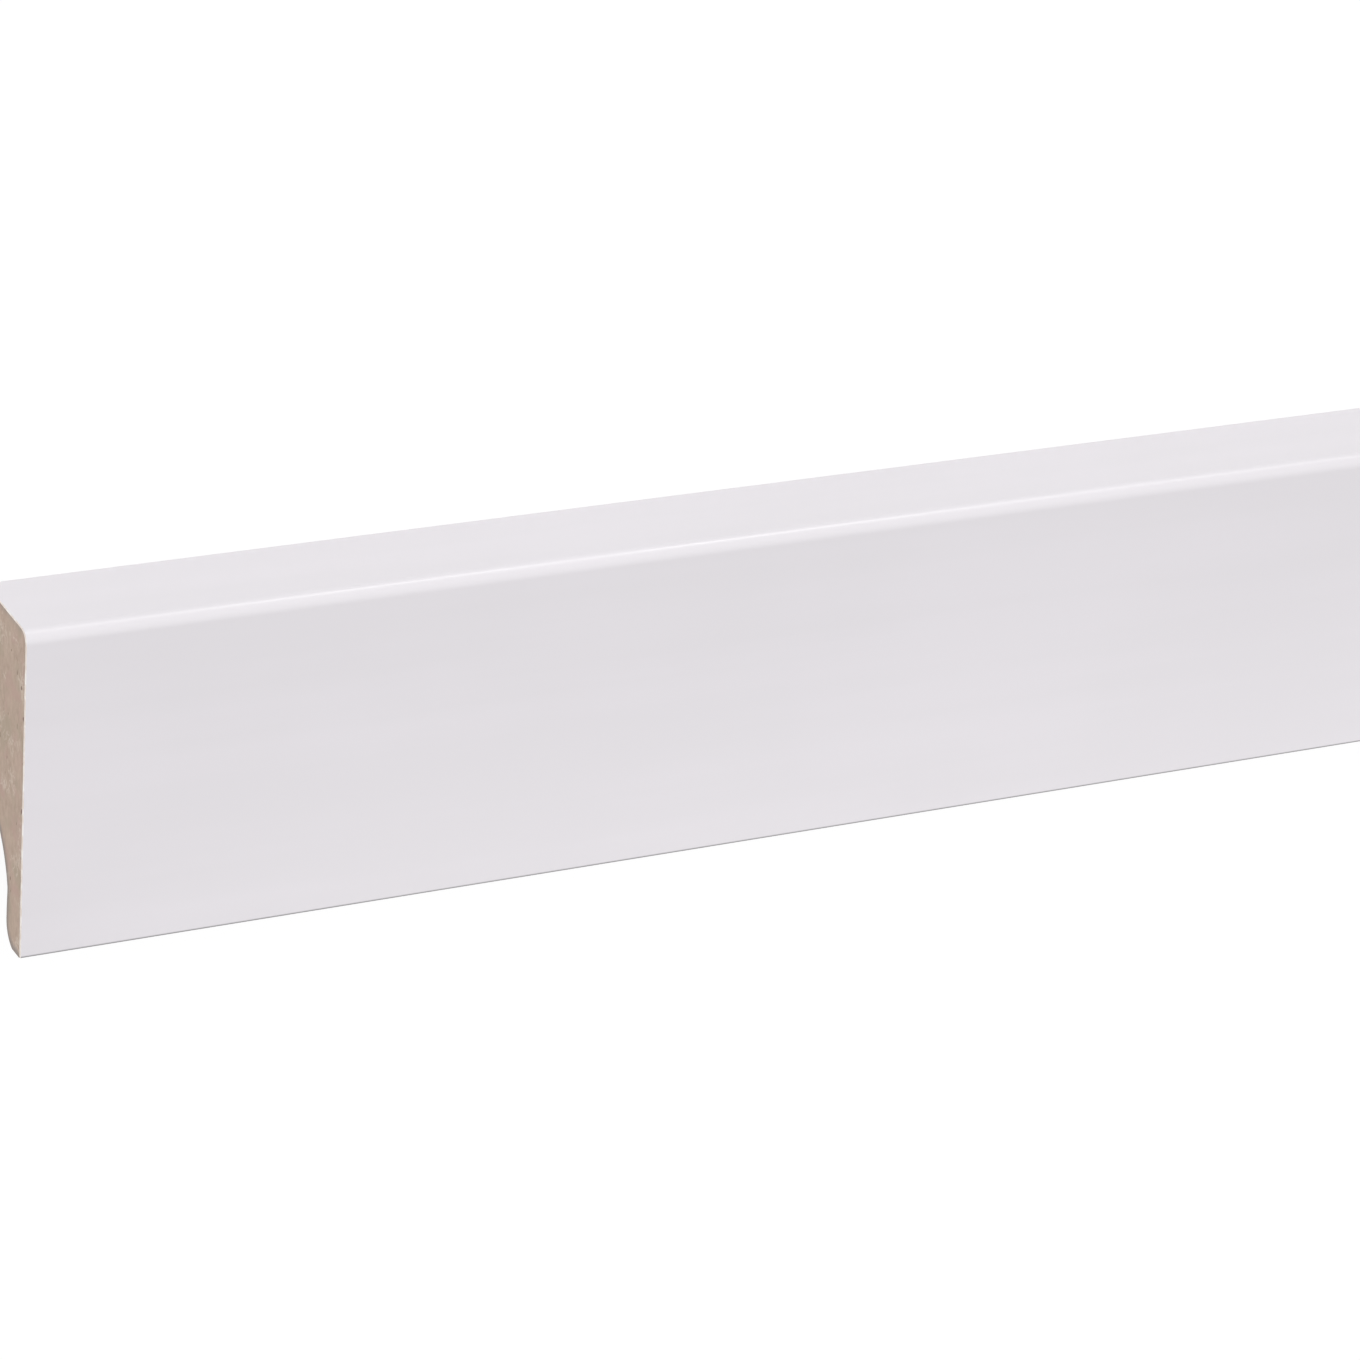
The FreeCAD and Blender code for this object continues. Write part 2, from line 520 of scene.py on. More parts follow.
# %% The colours of bare MDF
MDF_LIGHT = (0.54, 0.425, 0.345, 1)
MDF_DARK = (0.43, 0.325, 0.262, 1)
MDF_ROSY = (0.50, 0.355, 0.305, 1)
MDF_OLIVE = (0.43, 0.355, 0.275, 1)
MDF_SKIN = (0.27, 0.245, 0.235, 1)
MDF_FLECK = (0.17, 0.11, 0.085, 1)
MDF_CURL = (0.66, 0.57, 0.49, 1)
skin_share, bark_share = MDF_SKIN[1] / MDF_LIGHT[1], MDF_FLECK[1] / MDF_LIGHT[1]
print(f"beside light fibre, the skins are {skin_share:.2f} and bark {bark_share:.2f} as light")

# %% [markdown]
# MDF is pressed from fine fibres, which lie flat in the board. So on a cut end the mottling is drawn out
# along the width and short through the thickness. Bark shows as a few dark flecks, where a noise is near its
# top. A torn fibre is a thin winding line, and a noise holds such lines too: the places where it crosses its
# middle value. Each pattern has the two levels between which it fades in, and how strong it gets.

# %% Where each colour lies
FIBRE_FADE = (0.3, 0.72)
MOTTLE_PER_METRE = (170, 150, 280)
MOTTLE_FADE, MOTTLE_STRENGTH = (0.35, 0.75), 0.55
STAINS_PER_METRE = ((MDF_ROSY, 210.0), (MDF_OLIVE, 160.0))
STAIN_FADE, STAIN_STRENGTH = (0.5, 0.66), 0.7
CURLS_PER_METRE = (480, 400, 600)
CURL_LINE, CURL_STRENGTH = (0.05, 0.0), 0.62
CURLED_PATCHES_PER_METRE = 190.0
CURLED_PATCH_FADE = (0.5, 0.64)
BARK_PER_METRE = (560, 430, 900)
BARK_FADE, BARK_STRENGTH = (0.71, 0.77), 0.85
SKIN_FADE, SKIN_STRENGTH = (0.1, 0.8), 0.75


def mdf_colour(tree, place, fibre, torn):
    """Light and dark fibre, stains, pale curls and dark bark, with the skins over them."""
    mottle = noise(tree, stretched(tree, place, MOTTLE_PER_METRE), detail=4.0, roughness=0.6)
    colour = blend(tree, fade(tree, fibre, *FIBRE_FADE), MDF_DARK, MDF_LIGHT)
    colour = blend(tree, fade(tree, mottle, *MOTTLE_FADE, 0.0, MOTTLE_STRENGTH), colour, MDF_LIGHT)
    for stain, per_metre in STAINS_PER_METRE:
        patch = noise(tree, place, per_metre, detail=2.0)
        colour = blend(tree, fade(tree, patch, *STAIN_FADE, 0.0, STAIN_STRENGTH), colour, stain)
    curl = noise(tree, stretched(tree, place, CURLS_PER_METRE))
    off_line = sums(tree, "ABSOLUTE", sums(tree, "SUBTRACT", curl, 0.5))
    in_patch = fade(tree, noise(tree, place, CURLED_PATCHES_PER_METRE, detail=1.0), *CURLED_PATCH_FADE)
    pale = sums(tree, "MULTIPLY", fade(tree, off_line, *CURL_LINE), in_patch)
    colour = blend(tree, sums(tree, "MULTIPLY", pale, CURL_STRENGTH * torn), colour, MDF_CURL)
    bark = noise(tree, stretched(tree, place, BARK_PER_METRE), detail=1.0)
    colour = blend(tree, fade(tree, bark, *BARK_FADE, 0.0, BARK_STRENGTH), colour, MDF_FLECK)
    in_skin = node(tree, "ShaderNodeAttribute", {}, "Fac", attribute_name="skin")
    return blend(tree, fade(tree, in_skin, *SKIN_FADE, 0.0, SKIN_STRENGTH * torn), colour, MDF_SKIN)


print(f"mottling drawn out {MOTTLE_PER_METRE[2] / MOTTLE_PER_METRE[1]:.1f} times, bark "
      f"{BARK_PER_METRE[2] / BARK_PER_METRE[1]:.1f} times along the width")

# %% [markdown]
# The same MDF shows twice: on the sawn ends, and on the milled back, where the cutter leaves close, even
# ripples and hardly a torn fibre. Two materials could be written out, but they would only differ in how much
# is torn, so one function takes that as a number. Bare fibre is dull, and holds next to no gloss.

# %% Bare MDF, sawn and milled
TORN_BY_SAW = 1.0
TORN_BY_CUTTER = 0.25
FIBRES_PER_METRE = (700, 560, 1200)
KNIFE_WAVE_SCALE = 105.0
KNIFE_WANDER = 0.6
KNIFE_SHARE = 0.5
FIBRE_RELIEF = 0.02 * MM
TORN_RELIEF = 0.05 * MM
MDF_ROUGHNESS = 0.85
MDF_SPECULAR = 0.25


def bare_mdf(name, torn):
    """Pressed fibre. Torn is 1 on a sawn end and less where a cutter has left it smooth."""
    material, tree, shader, place = finish_named(name, MDF_LIGHT[:3])
    fibre = noise(tree, stretched(tree, place, FIBRES_PER_METRE), detail=6.0, roughness=0.65)
    tree.links.new(mdf_colour(tree, place, fibre, torn), shader.inputs["Base Color"])
    shader.inputs["Roughness"].default_value = MDF_ROUGHNESS
    shader.inputs["Specular IOR Level"].default_value = MDF_SPECULAR
    knife = node(tree, "ShaderNodeTexWave", {
        "Vector": place, "Scale": KNIFE_WAVE_SCALE, "Distortion": KNIFE_WANDER, "Detail": 1.0}, "Fac",
        wave_type="BANDS", bands_direction="X", wave_profile="SIN")
    relief = sums(tree, "ADD", fibre, sums(tree, "MULTIPLY", knife, KNIFE_SHARE * (1 - torn)))
    add_bump(tree, shader, relief, FIBRE_RELIEF + TORN_RELIEF * torn)
    return material


sawn_mdf = bare_mdf("sawn_mdf", TORN_BY_SAW)
milled_mdf = bare_mdf("milled_mdf", TORN_BY_CUTTER)
print("finishes:", ", ".join(m.name for m in (coating, coating_edge, sawn_mdf, milled_mdf)))

# %% [markdown]
# The board itself follows a rule, so a Geometry Nodes tree makes it from the sawn end: take the end's rim
# as a profile, sweep it along a straight line, close both ends, and merge the seams. Extruding row by row
# would give the same form, but the sweep keeps what the rim's points know: which are coated, and which way
# is out. The tree's inputs are the sizes that someone might want to change, and the finishes.

# %% The board's tree and its inputs
def new_tree(name, inputs):
    """A Geometry Nodes tree with named inputs, and its Group Input and Group Output."""
    tree = bpy.data.node_groups.new(name, "GeometryNodeTree")
    tree.interface.new_socket("Sawn end", in_out="INPUT", socket_type="NodeSocketGeometry")
    for title, kind in inputs:
        tree.interface.new_socket(title, in_out="INPUT", socket_type=f"NodeSocket{kind}")
    tree.interface.new_socket("Board", in_out="OUTPUT", socket_type="NodeSocketGeometry")
    return tree, tree.nodes.new("NodeGroupInput"), tree.nodes.new("NodeGroupOutput")


board_tree, given, result = new_tree("board_from_its_end", [
    ("Length", "Float"), ("Row spacing", "Float"), ("Broken edge", "Float"),
    ("Ripple height", "Float"), ("Ripples per metre", "Float"),
    ("Saw mark depth", "Float"), ("Saw mark spacing", "Float"), ("Tear depth", "Float"), ("Seed", "Float"),
    ("Coating", "Material"), ("Cut edge", "Material"), ("Sawn MDF", "Material"), ("Milled MDF", "Material"),
])
tree_inputs = [item for item in board_tree.interface.items_tree if item.in_out == "INPUT"]
print("inputs:", ", ".join(item.name for item in tree_inputs))

# %% [markdown]
# The steps of this tree all need the same three things: a value that the end's mesh carries, a sum of
# vectors, and a vector made of single numbers. So each gets a short name, and the steps can be read as a
# list of what is done to the board.

# %% Short names for the tree's nodes
def attribute(name, kind="FLOAT"):
    """A named attribute that the end's mesh carries."""
    return node(board_tree, "GeometryNodeInputNamedAttribute", {"Name": name}, "Attribute", data_type=kind)


def vector_math(operation, *values, output=0):
    """A vector math node in the board's tree."""
    inputs = dict(enumerate(values))
    if operation == "SCALE":
        inputs = {0: values[0], "Scale": values[1]}
    return node(board_tree, "ShaderNodeVectorMath", inputs, output, operation=operation)


def axes(x=0.0, y=0.0, z=0.0):
    """A vector from three numbers or outputs."""
    return node(board_tree, "ShaderNodeCombineXYZ", {"X": x, "Y": y, "Z": z})


def grown_by(step):
    """Prints how far the tree has grown."""
    print(f"{step}: {len(board_tree.nodes)} nodes so far")


position = node(board_tree, "GeometryNodeInputPosition", {})
grown_by("start")

# %% [markdown]
# A profile for Curve to Mesh lies in its own XY plane, and the end lies in YZ. So the rim is laid over first,
# half a turn round, and the sweep turns it back as it stands it up at each row of the line. A rim can be
# walked either way, and one way gives a surface turned inside out, so any face that looks inwards is turned.
# What the end says of its own faces has no meaning along the board, so the sweep drops it.

# %% Sweep the rim along the board
HALF_TURN = -1.0
faces_beside = node(board_tree, "GeometryNodeInputMeshEdgeNeighbors", {}, "Face Count")
is_rim = node(board_tree, "FunctionNodeCompare", {2: faces_beside, 3: 1}, data_type="INT", operation="EQUAL")
rim_curve = node(board_tree, "GeometryNodeMeshToCurve", {
    "Mesh": given.outputs["Sawn end"], "Selection": is_rim})
apart = board_tree.nodes.new("ShaderNodeSeparateXYZ")
board_tree.links.new(position, apart.inputs["Vector"])
laid_over = node(board_tree, "GeometryNodeSetPosition", {
    "Geometry": rim_curve,
    "Position": vector_math("SCALE", axes(apart.outputs["Y"], apart.outputs["Z"]), HALF_TURN)})
half_length = sums(board_tree, "MULTIPLY", given.outputs["Length"], 0.5)
reach = sums(board_tree, "SUBTRACT", half_length, given.outputs["Broken edge"])
line = node(board_tree, "GeometryNodeCurvePrimitiveLine", {
    "Start": axes(sums(board_tree, "MULTIPLY", reach, -1.0)), "End": axes(reach)})
rows = node(board_tree, "GeometryNodeResampleCurve", {
    "Curve": line, "Length": given.outputs["Row spacing"]}, mode="LENGTH")
swept = node(board_tree, "GeometryNodeCurveToMesh", {"Curve": rows, "Profile Curve": laid_over})
outwards = vector_math("DOT_PRODUCT", node(board_tree, "GeometryNodeInputNormal", {}),
                       attribute("way_out", "FLOAT_VECTOR"), output="Value")
looks_inwards = node(board_tree, "FunctionNodeCompare", {0: outwards, 1: 0.0}, operation="LESS_THAN")
swept = node(board_tree, "GeometryNodeFlipFaces", {"Mesh": swept, "Selection": looks_inwards})
for name in ("cut_edge", "sawn"):
    swept = node(board_tree, "GeometryNodeRemoveAttribute", {"Geometry": swept, "Name": name})
grown_by("sweep")

# %% [markdown]
# Both ends are the same sheet of triangles, with its rim drawn back a little: a saw cut is never knife-sharp,
# and that narrow slope catches the light as a thin pale line. One sheet is moved to the right and faces
# along +X. The other is its mirror image, flipped so that every face of the closed board looks outwards. A
# second sheet could be made for it, but then the two ends could differ by mistake.

# %% Close the ends and merge the seams
SEAM_GAP = 0.002 * MM
drawn_back = sums(board_tree, "MULTIPLY", attribute("outer"), given.outputs["Broken edge"])
to_the_right = axes(sums(board_tree, "SUBTRACT", half_length, drawn_back))
right_end = node(board_tree, "GeometryNodeSetPosition", {
    "Geometry": given.outputs["Sawn end"], "Offset": to_the_right})
mirrored = node(board_tree, "GeometryNodeTransform", {"Geometry": right_end, "Scale": (-1.0, 1.0, 1.0)})
left_end = node(board_tree, "GeometryNodeFlipFaces", {"Mesh": mirrored})
joined = board_tree.nodes.new("GeometryNodeJoinGeometry")
for part in (swept, right_end, left_end):
    board_tree.links.new(part, joined.inputs["Geometry"])
closed = node(board_tree, "GeometryNodeMergeByDistance", {
    "Geometry": joined.outputs["Geometry"], "Distance": SEAM_GAP})
grown_by("ends")

# %% [markdown]
# A coating wrapped over a routed board is never dead flat. A slow ripple of up to a few hundredths of a
# millimetre, drawn out along the board, is enough to make the bright line on the nose waver. A bump could
# make it too, but in the mesh it is there in every other use of the board as well. It only goes inwards, so
# the board stays inside its packed size. The seed moves the board along the noise.

# %% Ripple in the coating
DRAWN_OUT = (1.0, 2.6, 2.6)
seeded = vector_math("ADD", position, axes(given.outputs["Seed"]))
ripple = node(board_tree, "ShaderNodeTexNoise", {
    "Vector": vector_math("MULTIPLY", seeded, DRAWN_OUT),
    "Scale": given.outputs["Ripples per metre"], "Detail": 2.0})
inwards = sums(board_tree, "MULTIPLY", ripple, -1.0)
sink = sums(board_tree, "MULTIPLY", inwards, given.outputs["Ripple height"])
sink = sums(board_tree, "MULTIPLY", sink, attribute("coated"))
rippled = node(board_tree, "GeometryNodeSetPosition", {
    "Geometry": closed, "Offset": vector_math("SCALE", attribute("way_out", "FLOAT_VECTOR"), sink)})
grown_by("ripple")

# %% [markdown]
# A circular saw leaves arcs, all struck from the blade's centre well below the board, and tears out a few
# fibres between them. A bump could show both, but the end is seen close, and its hollows should be there in
# the exported mesh too, so only the finest fibre is left to the bump. They move the inner points of the two
# ends alone. A tear is where a fine noise rises past a level, so most of the end has none.

# %% Saw marks and torn fibres
BLADE_CENTRE = (0.0, -0.11, -0.05)
FIBRE_STRETCH = (1.0, 0.4, 1.0)
TEARS_PER_METRE = 1300.0
TEAR_LEVEL = 0.55
TEAR_STEEPNESS = 4.0
seen_flat = vector_math("MULTIPLY", position, (0.0, 1.0, 1.0))
from_blade = vector_math("DISTANCE", seen_flat, BLADE_CENTRE, output="Value")
turns = sums(board_tree, "DIVIDE", from_blade, given.outputs["Saw mark spacing"])
saw_wave = sums(board_tree, "SINE", sums(board_tree, "MULTIPLY", turns, 2 * math.pi))
saw_mark = sums(board_tree, "MULTIPLY_ADD", saw_wave, 0.5, 0.5)
torn = node(board_tree, "ShaderNodeTexNoise", {
    "Vector": vector_math("MULTIPLY", seeded, FIBRE_STRETCH), "Scale": TEARS_PER_METRE, "Detail": 3.0})
past_level = sums(board_tree, "MULTIPLY_ADD", torn, TEAR_STEEPNESS, -TEAR_STEEPNESS * TEAR_LEVEL)
pits = sums(board_tree, "MAXIMUM", past_level, 0.0)
depth = sums(board_tree, "ADD", sums(board_tree, "MULTIPLY", saw_mark, given.outputs["Saw mark depth"]),
             sums(board_tree, "MULTIPLY", pits, given.outputs["Tear depth"]))
along = node(board_tree, "ShaderNodeSeparateXYZ", {"Vector": position}, "X")
inward = sums(board_tree, "MULTIPLY", sums(board_tree, "SIGN", along), -1.0)
bite = sums(board_tree, "MULTIPLY", sums(board_tree, "MULTIPLY", depth, inward), attribute("inner"))
sawn_board = node(board_tree, "GeometryNodeSetPosition", {"Geometry": rippled, "Offset": axes(bite)})
grown_by("saw marks")

# %% [markdown]
# Last the tree shades the board smooth, keeps its real corners sharp, and gives each face its finish: the
# milled MDF everywhere, then the coating over it, then the sawn ends, then the coating's cut edge. The faces
# could be picked by where they lie, but what they know of themselves still holds when a size is changed.

# %% Shade the board and hand out the finishes
CORNER_ANGLE = math.radians(25)
SHARE_THAT_COUNTS = 0.75
smooth = node(board_tree, "GeometryNodeSetShadeSmooth", {"Geometry": sawn_board, "Shade Smooth": True})
angle = node(board_tree, "GeometryNodeInputMeshEdgeAngle", {}, "Unsigned Angle")
is_corner = node(board_tree, "FunctionNodeCompare", {0: angle, 1: CORNER_ANGLE}, operation="GREATER_THAN")
crisp = node(board_tree, "GeometryNodeStoreNamedAttribute", {
    "Geometry": smooth, "Name": "sharp_edge", "Value": is_corner}, domain="EDGE", data_type="BOOLEAN")
finished = node(board_tree, "GeometryNodeRealizeInstances", {"Geometry": crisp})


def mostly(name):
    """Whether a face has an attribute itself, or on more than three quarters of its corners."""
    return node(board_tree, "FunctionNodeCompare", {0: attribute(name), 1: SHARE_THAT_COUNTS},
                operation="GREATER_THAN")


finished = node(board_tree, "GeometryNodeSetMaterial", {
    "Geometry": finished, "Material": given.outputs["Milled MDF"]})
for title, name in (("Coating", "coated"), ("Sawn MDF", "sawn"), ("Cut edge", "cut_edge")):
    finished = node(board_tree, "GeometryNodeSetMaterial", {
        "Geometry": finished, "Selection": mostly(name), "Material": given.outputs[title]})
board_tree.links.new(finished, result.inputs["Board"])
grown_by("whole tree")

# %% [markdown]
# A modifier could stay on the object, but other programs want a plain mesh, so the tree is run once and what
# comes out is kept. A modifier knows an input by its identifier, so each is looked up from its name. The
# numbers are near those of a real board: a ripple and saw marks of up to a few hundredths of a millimetre,
# and torn fibres a little deeper.

# %% Run the tree and keep the plain mesh
source_object = bpy.data.objects.new("sawn_end", end_mesh)
bpy.context.scene.collection.objects.link(source_object)
maker = source_object.modifiers.new("board", "NODES")
maker.node_group = board_tree
socket_of = {item.name: item.identifier for item in tree_inputs}
settings = {
    "Length": length, "Row spacing": 5.0 * MM, "Broken edge": 0.12 * MM,
    "Ripple height": 0.03 * MM, "Ripples per metre": 30.0,
    "Saw mark depth": 0.02 * MM, "Saw mark spacing": 1.3 * MM, "Tear depth": 0.07 * MM, "Seed": 4.0,
    "Coating": coating, "Cut edge": coating_edge, "Sawn MDF": sawn_mdf, "Milled MDF": milled_mdf,
}
for title, value in settings.items():
    maker[socket_of[title]] = value
evaluated = source_object.evaluated_get(bpy.context.evaluated_depsgraph_get())
board_mesh = bpy.data.meshes.new_from_object(evaluated)
board_mesh.name = "skirting_board_dressed"
bpy.data.objects.remove(source_object)
triangles = sum(len(face.vertices) - 2 for face in board_mesh.polygons)
print(f"board: {len(board_mesh.vertices)} points, {triangles} triangles")

# %% [markdown]
# A baked picture needs a map that says where each face lies on it. A board is 40 times as long as it is
# high, so an automatic layout would leave the sawn ends a few specks of that picture. This map gives each
# end nearly a fifth of the width and unrolls the long surfaces into the rest: the length runs along it and
# the way round the outline runs up it, with the seam under the foot. A face that spans the seam has the
# corners beyond it moved on by one whole round, or else it would reach back over the whole map.

# %% A map of the surface for baking
MAP_EDGE = 0.01
LONG_SHARE = 0.58
END_SHARE = 0.18
HALF_ROUND = 0.5


def read(items, name, kind, width=1):
    """A property of every item of a mesh as an array."""
    values = np.empty(len(items) * width, kind)
    items.foreach_get(name, values)
    return values.reshape(-1, width).squeeze()


def lay_out(mesh):
    """Writes the map: both ends upright side by side, and the long surfaces unrolled beside them."""
    corner_point = read(mesh.loops, "vertex_index", np.int32)
    sides = read(mesh.polygons, "loop_total", np.int32)
    face_of = np.repeat(np.arange(len(sides)), sides)
    place = read(mesh.vertices, "co", np.float32, 3)[corner_point]
    share_round = read(mesh.attributes["around"].data, "value", np.float32)[corner_point]
    highest = np.maximum.reduceat(share_round, np.cumsum(sides) - sides)[face_of]
    share_round = np.where(highest - share_round > HALF_ROUND, share_round + 1, share_round)
    finish_of = read(mesh.polygons, "material_index", np.int32)[face_of]
    end_finishes = [i for i, m in enumerate(mesh.materials) if m in (sawn_mdf, coating_edge)]
    on_end = np.isin(finish_of, end_finishes)
    along, up, out = ((place - np.array(low)) / np.array(high - low)).T
    end_start = np.where(along < 0.5, LONG_SHARE + 2 * MAP_EDGE, LONG_SHARE + END_SHARE + 3 * MAP_EDGE)
    u = np.where(on_end, end_start + out * END_SHARE, MAP_EDGE + along * LONG_SHARE)
    v = MAP_EDGE + (1 - 2 * MAP_EDGE) * np.where(on_end, up, share_round)
    mesh.uv_layers.new(name="OFBake").data.foreach_set("uv", np.stack([u, v], 1).ravel())
    print(f"map: {on_end.sum()} corners on the ends, {(~on_end).sum()} on the long surfaces")


lay_out(board_mesh)

# %% [markdown]
# A board that is closed and faces outwards everywhere has two faces at each edge, no edge where they
# disagree, and a volume above zero that is near its section times its length. An eye on the render would
# miss a small hole, so all three are worked out. Then the imported board is hidden, and the new one rides on
# the imported board's body.

# %% Check the surface and hand the board over
check = bmesh.new()
check.from_mesh(board_mesh)
open_edges = sum(len(edge.link_faces) != 2 for edge in check.edges)
turned_edges = sum(not edge.is_contiguous for edge in check.edges)
print(f"volume {check.calc_volume(signed=True) / MM ** 3:.0f} mm3")
print(f"{open_edges} open and {turned_edges} turned edges")
check.free()

board = bpy.data.objects.new("skirting_board_dressed", board_mesh)
bpy.context.scene.collection.objects.link(board)
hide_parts("skirting_board")
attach(board, "root")

# %% [markdown]
# The floor is a plain pale sheet. A camera sees it lifted almost to white, so that it makes the photo's
# white background and still keeps a faint shadow, while the light that it throws back on the board is that
# of a plain pale floor. Brighter lamps would whiten it as well, but the white board would lose its tone.

# %% The floor's finish
FLOOR_PALE = (0.80, 0.80, 0.80, 1)
FLOOR_LIFT = 0.90
FLOOR_SHADE = 0.13


def seen_directly(tree):
    """1 for a ray from the camera, or one that a mirror or a clear thing passes on, and 0 for lighting."""
    path = tree.nodes.new("ShaderNodeLightPath").outputs
    either = sums(tree, "MAXIMUM", path["Is Camera Ray"], path["Is Glossy Ray"])
    return sums(tree, "MAXIMUM", either, path["Is Transmission Ray"])


def pale_floor():
    """Pale to light that falls on it, and nearly white to the eye."""
    material = bpy.data.materials.new("pale_floor")
    material.use_nodes = True
    tree = material.node_tree
    tree.nodes.clear()
    plain = node(tree, "ShaderNodeBsdfDiffuse", {"Color": FLOOR_PALE})
    shade = node(tree, "ShaderNodeBsdfDiffuse", {"Color": (FLOOR_SHADE, FLOOR_SHADE, FLOOR_SHADE, 1)})
    lift = node(tree, "ShaderNodeEmission", {"Color": (1, 1, 1, 1), "Strength": FLOOR_LIFT})
    lifted = node(tree, "ShaderNodeAddShader", {0: shade, 1: lift})
    mixed = node(tree, "ShaderNodeMixShader", {0: seen_directly(tree), 1: plain, 2: lifted})
    tree.links.new(mixed, tree.nodes.new("ShaderNodeOutputMaterial").inputs["Surface"])
    return material


floor_finish = pale_floor()
print(f"{floor_finish.name}: {FLOOR_LIFT:.2f} of white to the eye before any light falls on it")

# %% [markdown]
# The floor reaches so far that its edge is lost in the distance in any view. A plane of four corners is
# enough, and it lies a hair below the board, because two sheets in the same place flicker. It belongs to the
# stage and not to the object, so it is marked as a backdrop, and the boxes measured here leave it out.

# %% Lay the floor
FLOOR_HALF_WIDTH = 60.0
FLOOR_GAP = 0.01 * MM

half, floor_level = FLOOR_HALF_WIDTH, low.z - FLOOR_GAP
corners = [(x, y, floor_level) for x, y in ((-half, -half), (half, -half), (half, half), (-half, half))]
floor_mesh = bpy.data.meshes.new("floor")
floor_mesh.from_pydata(corners, [], [(0, 1, 2, 3)])
floor_mesh.materials.append(floor_finish)
floor = bpy.data.objects.new("floor", floor_mesh)
bpy.context.scene.collection.objects.link(floor)
floor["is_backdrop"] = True
print(f"floor: {2 * half:.0f} m wide, {FLOOR_GAP / MM:.2f} mm below the board")

# %% [markdown]
# Light in a studio comes from large soft panels. Panels near a board 2.4 m long would light one end more
# than the other, so each panel here is a sun lamp with a wide angle: a soft disc of light, the same all
# along. What a lamp's angle and place do is best seen on the nose, which mirrors them from the top face
# down to the show face: the low panel beyond the top edge makes the thin bright line, and the high one
# makes the paler band below it. The third lights the sawn end.

# %% Soft panels
def panel(name, toward, strength, width):
    """A soft lamp in a direction from the board. Its strength is a share of white, its width in degrees."""
    light = bpy.data.lights.new(name, "SUN")
    light.energy = strength * math.pi
    light.angle = math.radians(width)
    lamp = bpy.data.objects.new(name, light)
    lamp.rotation_euler = Vector(toward).to_track_quat("Z", "Y").to_euler()
    bpy.context.scene.collection.objects.link(lamp)
    print(f"{name}: {strength:.2f} of white, {width:.0f} degrees wide")


panel("high_panel", toward=(0.10, 0.60, 0.80), strength=0.337, width=80)
panel("low_panel", toward=(0.44, 0.89, 0.05), strength=0.142, width=12)
panel("end_panel", toward=(-0.96, 0.10, 0.27), strength=0.196, width=40)

# %% [markdown]
# In the photo the show face also grows lighter from the nose to the foot, by some five or six parts in a
# hundred. A sun lamp lights a flat face evenly, and paint would keep that fade in any other light too. So it
# takes a lamp that is near: a long strip that hangs just over the foot and reaches out beyond it. It ends a
# little before the board does, so that it lights neither sawn end, and the camera doesn't see it.

# %% A strip lamp over the foot
STRIP_STRENGTH = 0.136
STRIP_WIDTH = 100.0 * MM
STRIP_INSET = 20.0 * MM
STRIP_BEYOND_FOOT = 40.0 * MM
STRIP_ABOVE_FACE = 40.0 * MM

strip_light = bpy.data.lights.new("foot_strip", "AREA")
strip_light.shape = "RECTANGLE"
strip_light.size = length - 2 * STRIP_INSET
strip_light.size_y = STRIP_WIDTH
strip_light.energy = STRIP_STRENGTH * math.pi * strip_light.size * strip_light.size_y
strip = bpy.data.objects.new("foot_strip", strip_light)
strip.location = (0, low.y - STRIP_BEYOND_FOOT, high.z + STRIP_ABOVE_FACE)
strip.visible_camera = False
bpy.context.scene.collection.objects.link(strip)
print(f"foot_strip: {strip_light.energy:.3f} W over {strip_light.size:.2f} m")

# %% [markdown]
# The world is the light that comes from everywhere else, as off the walls of a white room, and it keeps the
# shaded sides from going black. One strength can't do all its work: at 1 it would wash out what the panels
# draw, and below 1 the background would turn grey. So it lights the board at its own strength, while the
# camera sees it as plain white.

# %% World
WORLD_STRENGTH = 0.62

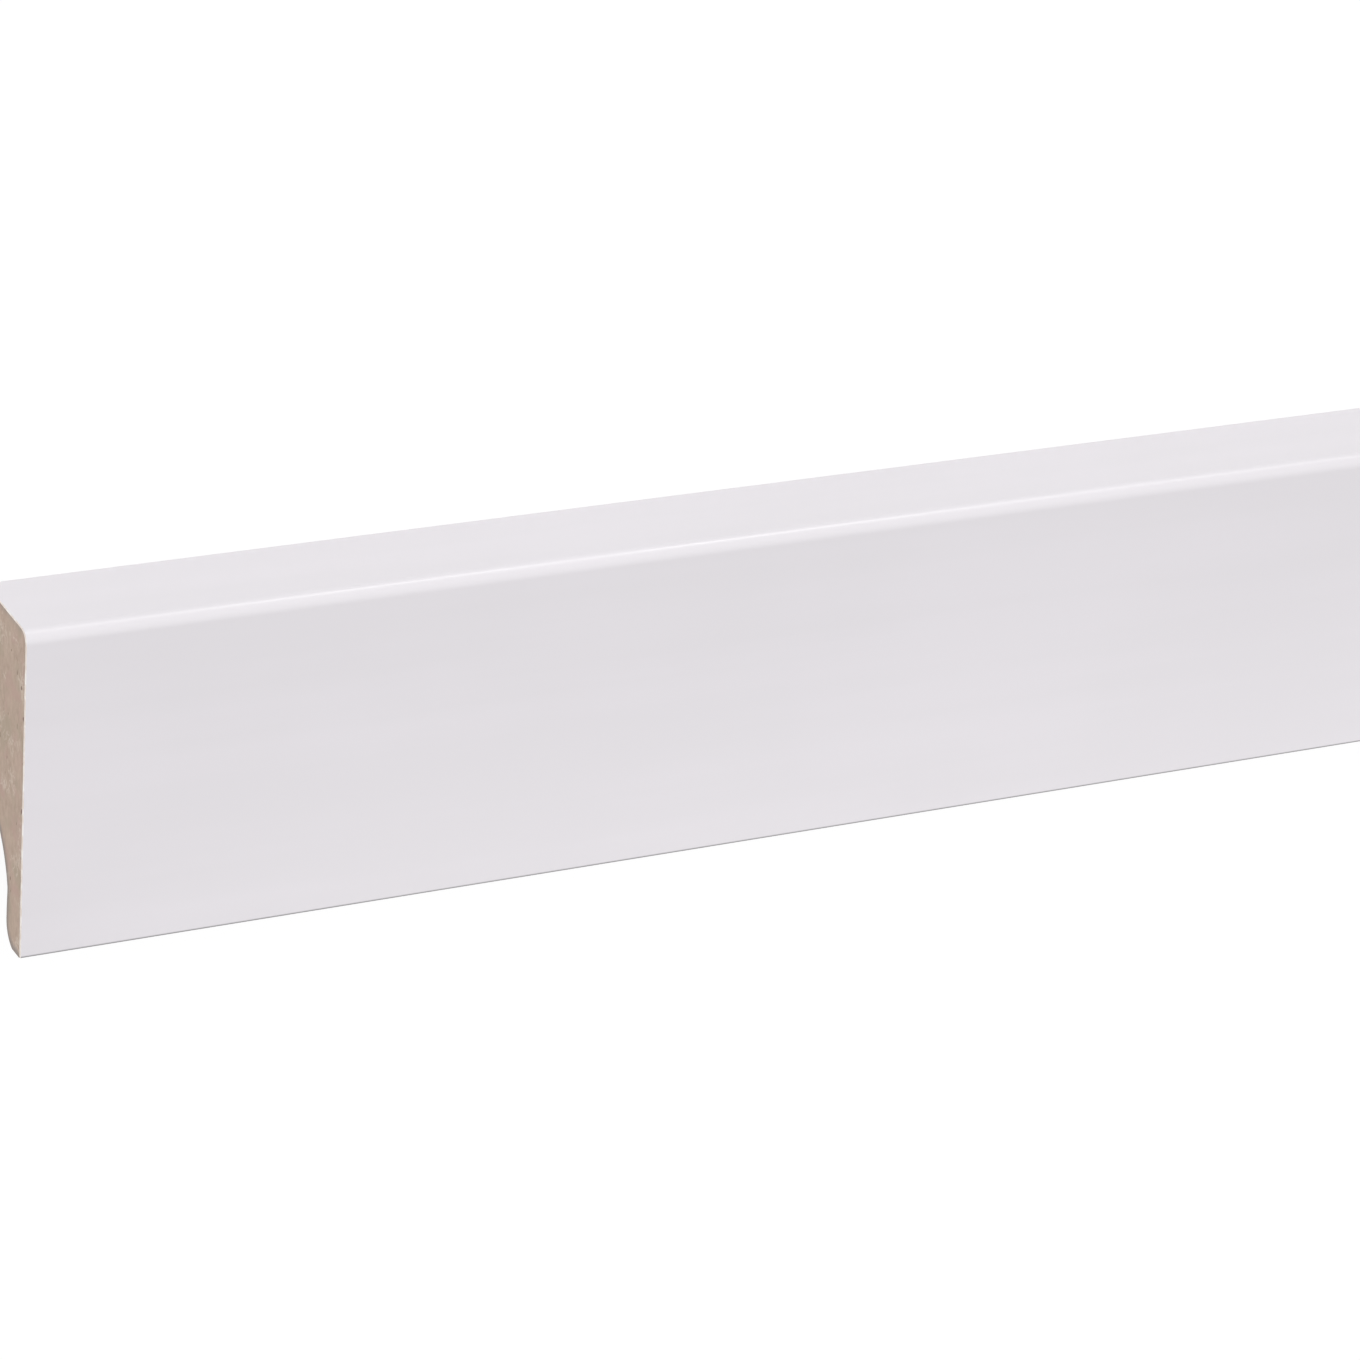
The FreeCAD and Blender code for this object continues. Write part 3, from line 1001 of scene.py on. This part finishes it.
world = bpy.data.worlds.new("studio")
bpy.context.scene.world = world
world.use_nodes = True
world_tree = world.node_tree
world_tree.nodes.clear()
ambient = node(world_tree, "ShaderNodeBackground", {"Color": (1, 1, 1, 1), "Strength": WORLD_STRENGTH})
backdrop = node(world_tree, "ShaderNodeBackground", {"Color": (1, 1, 1, 1), "Strength": 1.0})
shown = node(world_tree, "ShaderNodeMixShader", {0: seen_directly(world_tree), 1: ambient, 2: backdrop})
world_tree.links.new(shown, world_tree.nodes.new("ShaderNodeOutputWorld").inputs["Surface"])
print(f"world: {WORLD_STRENGTH:.2f} of white to the board, 1 to the camera")

# %% [markdown]
# The camera stands beyond the left end and the top edge, and looks down on the lying board with a long
# lens. Seen from there the board looks as if it stood on its foot, as it does on a wall. A tracking
# constraint could aim it, but here it also rolls a little about its line of sight, so its three directions
# are worked out and set together. It aims at a point of the show face near the sawn end.

# %% Camera
CAMERA_PLACE = low + Vector((-264.84, 384.21, 710.42)) * MM
CAMERA_AIM = Vector((low.x + 116.45 * MM, low.y + 32.63 * MM, high.z))
CAMERA_ROLL = math.radians(4.367)
LENS = 136.54
SENSOR_WIDTH = 36.0

camera = bpy.data.objects.new("camera", bpy.data.cameras.new("camera"))
camera.data.lens = LENS
camera.data.sensor_width = SENSOR_WIDTH
forward = (CAMERA_AIM - CAMERA_PLACE).normalized()
side = forward.cross(Vector((0, 1, 0))).normalized()
level = Matrix((side, side.cross(forward), -forward)).transposed()
camera.matrix_world = (Matrix.Translation(CAMERA_PLACE)
                       @ (level @ Matrix.Rotation(CAMERA_ROLL, 3, "Z")).to_4x4())
bpy.context.scene.collection.objects.link(camera)
bpy.context.scene.camera = camera
bpy.context.scene.view_settings.view_transform = "Standard"
print(f"camera {(CAMERA_AIM - CAMERA_PLACE).length:.3f} m from where it aims")

# %% [markdown]
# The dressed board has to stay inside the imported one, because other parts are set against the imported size.
# A look from the side would show a large fault only, so both boxes are written down beside each other.

# %% Compare the sizes and finish
made_low, made_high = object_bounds()
low_gaps = [round((made - packed) / MM, 4) for made, packed in zip(made_low, packed_low)]
high_gaps = [round((packed - made) / MM, 4) for made, packed in zip(made_high, packed_high)]
print("mm by which the visual box lies inside the packed one:", low_gaps, high_gaps)
